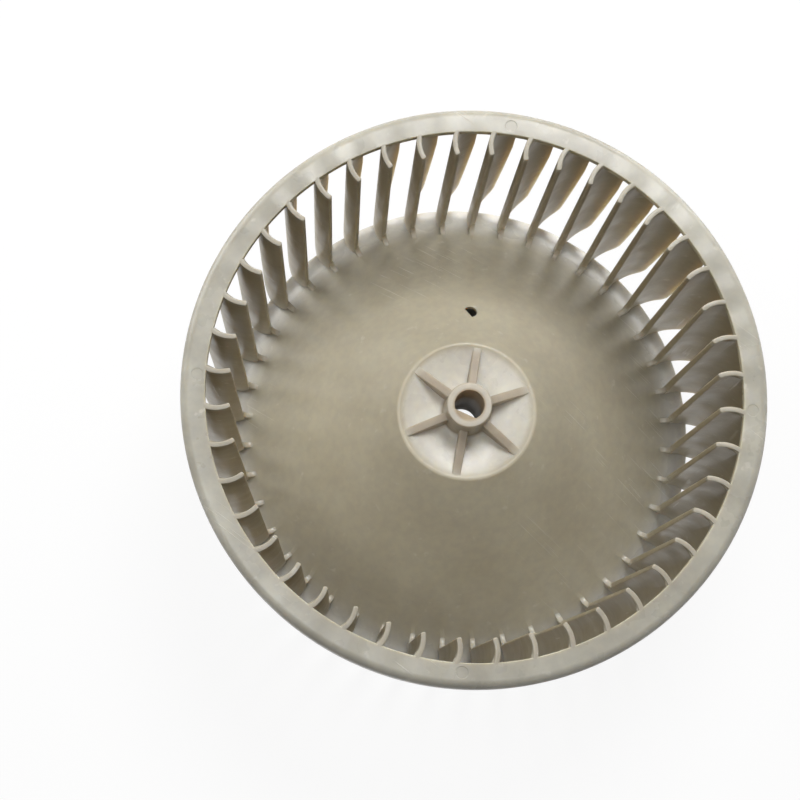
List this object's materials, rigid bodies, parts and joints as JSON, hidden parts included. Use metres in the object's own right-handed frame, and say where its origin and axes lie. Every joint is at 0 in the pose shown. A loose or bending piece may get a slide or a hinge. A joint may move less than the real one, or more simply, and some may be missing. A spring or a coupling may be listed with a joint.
{
  "type": "fan impeller",
  "caption": "One-piece moulded centrifugal fan impeller: a drum of forward-curved blades between a front ring and a conical back plate with a ribbed hub boss.",
  "frame": {"origin": "on the wheel's axis, in the plane of the back rim", "axes": "+Z along the bore towards the open inlet side, +X through a hub rib and the inner edge of a blade"},
  "size_m": [0.15, 0.15, 0.074],
  "materials": {
    "ivory_plastic": "injection moulded, smooth, slightly translucent ivory"
  },
  "bodies": {
    "root": {"impeller": "ivory_plastic"}
  },
  "joints": []
}
